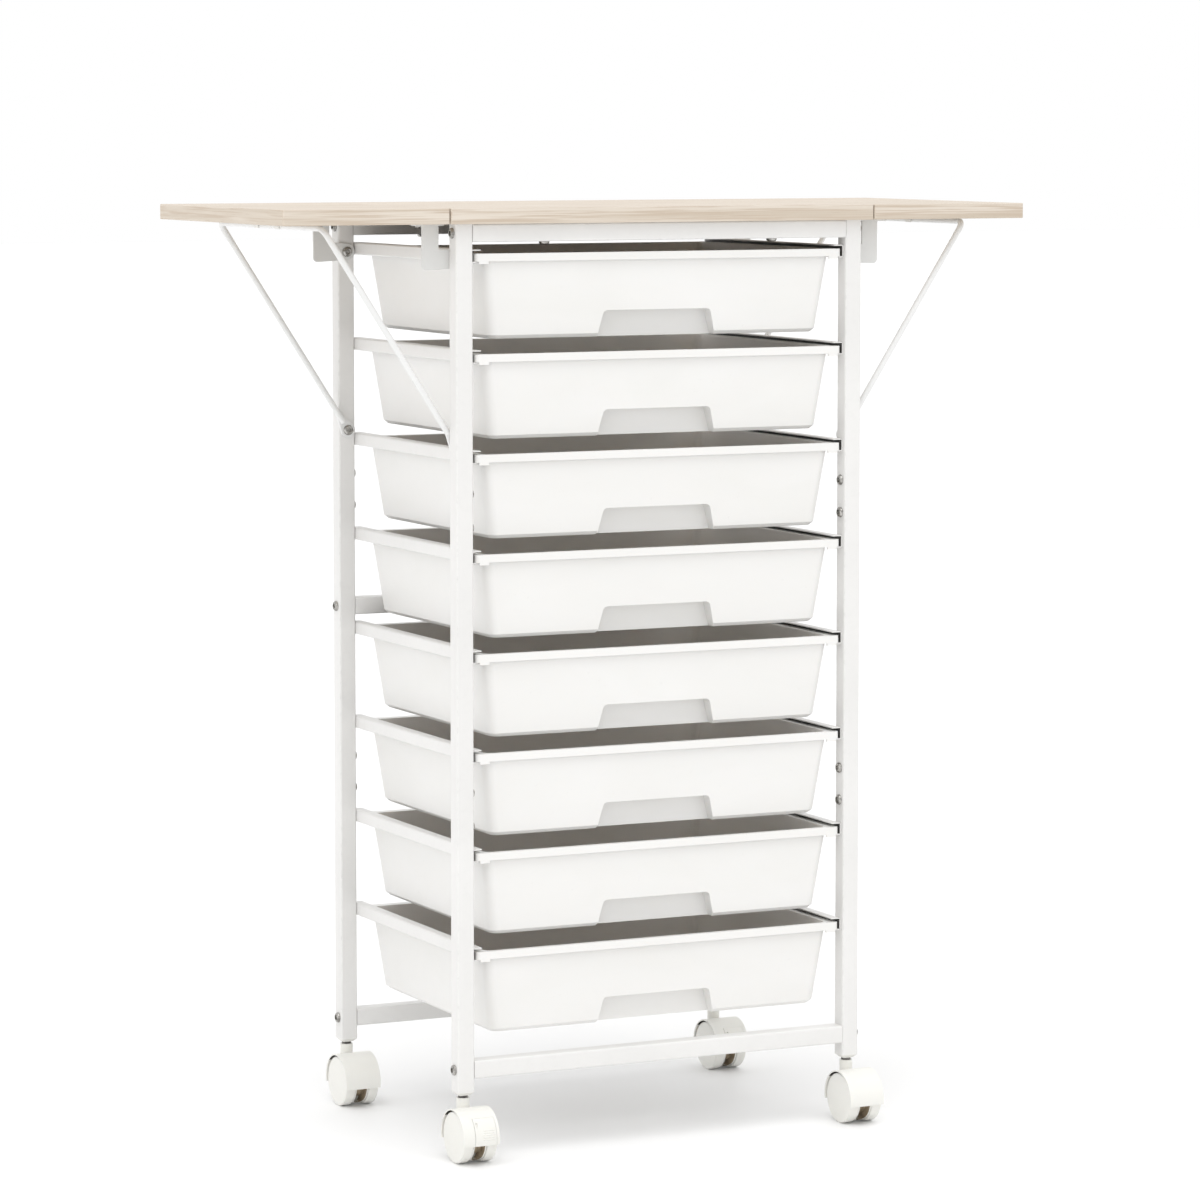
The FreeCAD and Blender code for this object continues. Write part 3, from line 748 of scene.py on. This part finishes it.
def finish_hood(corner):
    """A hood with tan painted shade in the pocket between the wheels and dark painted shade in the gap
    over them.
    """
    hood = softened(corner + "_caster_hood", HOOD_EDGE, "caster_plastic", caster_plastic, 3)
    hood.data.materials.append(pocket_painted_shade)
    hood.data.materials.append(gap_painted_shade)
    low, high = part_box(corner + "_left_wheel")
    pin_low, pin_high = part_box(corner + "_stem_and_axle")
    axle = Vector(((pin_low.x + pin_high.x) / 2, (low.y + high.y) / 2, (low.z + high.z) / 2))
    for polygon in hood.data.polygons:
        place = polygon.center - axle
        reach = math.hypot(place.y, place.z)
        outwards = (polygon.normal.y * place.y + polygon.normal.z * place.z) / reach
        # The pocket's inside takes tan painted shade
        pocket = (abs(place.x) < POCKET_HALF_WIDTH and POCKET_FLOOR < reach < POCKET_MOUTH
                  and place.y < POCKET_FRONT and place.z < POCKET_TOP
                  and polygon.normal.z > FACING_DOWN)
        # The hood's faces in the gap over each wheel take dark painted shade
        gap_shade = (abs(place.x) > GAP_SHADE_START and GAP_SHADE_INNER < reach < GAP_SHADE_OUTER
                  and outwards < FACING_AXLE and place.z > GAP_SHADE_SHARE * reach)
        if pocket:
            polygon.material_index = 1
        elif gap_shade:
            polygon.material_index = 2


def finish_wheel(node, outwards):
    """A turned wheel with a slightly crowned face and a tread of its own colour."""
    low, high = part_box(node)
    centre = (low + high) / 2
    radius = (high.z - low.z) / 2
    width = high.x - low.x
    inner = centre - outwards * (width / 2)
    face = width - WHEEL_CROWN
    disc = radius - WHEEL_OUTER_ROUND
    profile = [(0, 0)]
    profile += arc(WHEEL_INNER_ROUND, radius - WHEEL_INNER_ROUND, WHEEL_INNER_ROUND, 180, 90,
                   ROUND_STEPS)
    profile += arc(face - WHEEL_OUTER_ROUND, disc, WHEEL_OUTER_ROUND, 90, 0, ROUND_STEPS)
    for i in range(CROWN_STEPS, 0, -1):
        drop = WHEEL_CROWN * (i / CROWN_SPAN) ** 2
        profile.append((width - drop, disc * i / CROWN_SPAN))
    profile.append((width, 0))
    bm = bmesh.new()
    turned(bm, profile, facing(inner, outwards), WHEEL_SIDES)
    bmesh.ops.recalc_face_normals(bm, faces=bm.faces)
    for polygon in bm.faces:
        place = polygon.calc_center_median() - inner
        along = place.dot(outwards)
        reach = (place - outwards * along).length
        if reach > radius - TREAD_DEPTH and along < face - TREAD_DEPTH:
            polygon.material_index = 1
    mesh = to_mesh(bm, node + "_finished")
    wheel = add_piece(node + "_finished", mesh, body_of(node), "wheel_plastic", caster_plastic,
                      tread_plastic)
    mesh.set_sharp_from_angle(angle=math.radians(WHEEL_SHARP_ANGLE))
    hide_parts(node)


def rib_rows():
    """The angles in degrees at which each rib starts, is full, stops being full and ends."""
    rows = []
    for rib in range(RIB_COUNT):
        middle = RIB_LOWEST + RIB_PITCH * rib
        rows.append((middle - RIB_FOOT, middle - RIB_TOP, middle + RIB_TOP, middle + RIB_FOOT))
    return rows


def lever_columns(width):
    """Places across the lever, from its left edge, where its faces are cut."""
    slot_right = SLOT_LEFT + SLOT_WIDTH
    rib_right = width - RIB_RIGHT
    return sorted({0.0, PLAIN_EDGE, SLOT_LEFT, SLOT_LEFT + SLOPE, slot_right - SLOPE, slot_right,
                   PLAIN_COLUMN, RIB_LEFT, RIB_LEFT + SLOPE, rib_right - SLOPE, rib_right,
                   width - PLAIN_EDGE, width})


def lever_rows(bottom, top, ribs):
    """Angles up the lever, in degrees above the axle's level, where its faces are cut."""
    slot_rows = {SLOT_BOTTOM, SLOT_BOTTOM + SLOT_FLANK, SLOT_TOP - SLOT_FLANK, SLOT_TOP}
    rib_edges = {row for rib in ribs for row in rib}
    return sorted({bottom, top} | slot_rows | set(PLAIN_ROWS) | rib_edges)


def lever_relief(column, row, width, ribs):
    """How far the lever's outside stands out at a place on it, or in, within the slot."""
    across_ribs = RIB_LEFT + SLOPE / 2 < column < width - RIB_RIGHT - SLOPE / 2
    if across_ribs and any(rib[0] < row < rib[3] for rib in ribs):
        return RIB_HEIGHT
    across_slot = SLOT_LEFT + SLOPE / 2 < column < SLOT_LEFT + SLOT_WIDTH - SLOPE / 2
    if across_slot and SLOT_BOTTOM < row < SLOT_TOP:
        return -SLOT_DEPTH
    return 0.0


def join_grids(bm, out, back):
    """Faces over two grids of points, and round their edges, which make one closed plate."""
    last_row = len(out) - 1
    last_column = len(out[0]) - 1
    for grid in (out, back):
        for i in range(last_row):
            for j in range(last_column):
                bm.faces.new([grid[i][j], grid[i][j + 1], grid[i + 1][j + 1], grid[i + 1][j]])
    for i in range(last_row):
        for j in (0, last_column):
            bm.faces.new([out[i][j], out[i + 1][j], back[i + 1][j], back[i][j]])
    for j in range(last_column):
        for i in (0, last_row):
            bm.faces.new([out[i][j], out[i][j + 1], back[i][j + 1], back[i][j]])
    bmesh.ops.recalc_face_normals(bm, faces=bm.faces)


def brake_lever(node):
    """A curved plate round the wheels, with low grip ribs and a small latch slot."""
    low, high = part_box(node)
    wheel_low, wheel_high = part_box(node.replace("brake_lever", "left_wheel"))
    axle_y = (wheel_low.y + wheel_high.y) / 2
    axle_z = (wheel_low.z + wheel_high.z) / 2
    outer = axle_y - low.y
    inner = outer - LEVER_THICKNESS
    plate = outer - RIB_HEIGHT
    width = high.x - low.x
    bottom = math.degrees(math.asin((low.z - axle_z) / outer))
    top = math.degrees(math.asin((high.z - axle_z) / outer))
    ribs = rib_rows()
    columns = lever_columns(width)
    rows = lever_rows(bottom, top, ribs)
    bm = bmesh.new()

    def point(column, row, radius):
        """A new point on the lever, at a distance from the axle."""
        angle = math.radians(row)
        return bm.verts.new((low.x + column, axle_y - radius * math.cos(angle),
                             axle_z + radius * math.sin(angle)))

    out = [[point(c, r, plate + lever_relief(c, r, width, ribs)) for c in columns] for r in rows]
    back = [[point(c, r, inner) for c in columns] for r in rows]
    join_grids(bm, out, back)
    mesh = to_mesh(bm, node + "_finished")
    lever = add_piece(node + "_finished", mesh, body_of(node), "caster_plastic", caster_plastic)
    round_edges(lever, LEVER_EDGE, 2, CURVED_EDGE_ANGLE)
    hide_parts(node)


for corner in CORNERS:
    finish_hood(corner)
    softened(corner + "_stem_and_axle", PIN_EDGE, "pin_steel", pin_steel)
    finish_wheel(corner + "_left_wheel", Vector((-1, 0, 0)))
    finish_wheel(corner + "_right_wheel", Vector((1, 0, 0)))
for corner in BRAKED_CORNERS:
    brake_lever(corner + "_brake_lever")


# Floor

def studio_floor(reach):
    """A wide pale floor, which stands for the photograph's white ground."""
    bm = bmesh.new()
    bmesh.ops.create_grid(bm, x_segments=2, y_segments=2, size=reach)
    mesh = bpy.data.meshes.new("floor")
    bm.to_mesh(mesh)
    bm.free()
    floor = bpy.data.objects.new("floor", mesh)
    bpy.context.scene.collection.objects.link(floor)
    s = Surface("floor")
    tone = s.ramp(s.noise(0.8, 2), (0.3, FLOOR_DULL), (0.7, FLOOR_BRIGHT))
    mesh.materials.append(s.finish(tone, s.spread(s.noise(3, 2), 0.5, 0.6),
                                   s.bump(s.noise(300, 1), 0.02, 0.0002)))


studio_floor(FLOOR_REACH)


# Light: a white surround, a wide soft sun from above and two large soft lamps from the left

def add_light(name, data, place, direction):
    """Links a lamp that shines from the place in the direction."""
    lamp = bpy.data.objects.new(name, data)
    lamp.location = place
    lamp.rotation_euler = direction.to_track_quat("-Z", "Y").to_euler()
    bpy.context.scene.collection.objects.link(lamp)


def area_light(name, place, target, size, power):
    """A round lamp at the place, turned to the target."""
    data = bpy.data.lights.new(name, "AREA")
    data.shape = "DISK"
    data.size = size
    data.energy = power
    add_light(name, data, place, Vector(target) - Vector(place))


world = bpy.data.worlds.new("studio")
bpy.context.scene.world = world
world.use_nodes = True
surround = world.node_tree.nodes["Background"]
surround.inputs["Color"].default_value = SURROUND_COLOUR
surround.inputs["Strength"].default_value = SURROUND_STRENGTH
sun_data = bpy.data.lights.new("sun", "SUN")
sun_data.energy = SUN_POWER
sun_data.angle = math.radians(SUN_SPREAD)
add_light("sun", sun_data, (0, 0, 0), Vector(SUN_DIRECTION))
area_light("key", KEY_PLACE, KEY_TARGET, KEY_SIZE, KEY_POWER)
area_light("side_fill", FILL_PLACE, FILL_TARGET, FILL_SIZE, FILL_POWER)
bpy.context.scene.view_settings.view_transform = "Standard"


# Camera

camera_data = bpy.data.cameras.new("camera")
camera_data.sensor_width = CAMERA_SENSOR
camera_data.lens = CAMERA_LENS
camera_data.shift_y = CAMERA_SHIFT
camera_data.clip_end = CAMERA_REACH
camera = bpy.data.objects.new("camera", camera_data)
camera.location = CAMERA_PLACE
tilt = math.pi / 2 - math.radians(CAMERA_PITCH)
camera.rotation_euler = (tilt, 0, -math.radians(CAMERA_YAW))
bpy.context.scene.collection.objects.link(camera)
bpy.context.scene.camera = camera
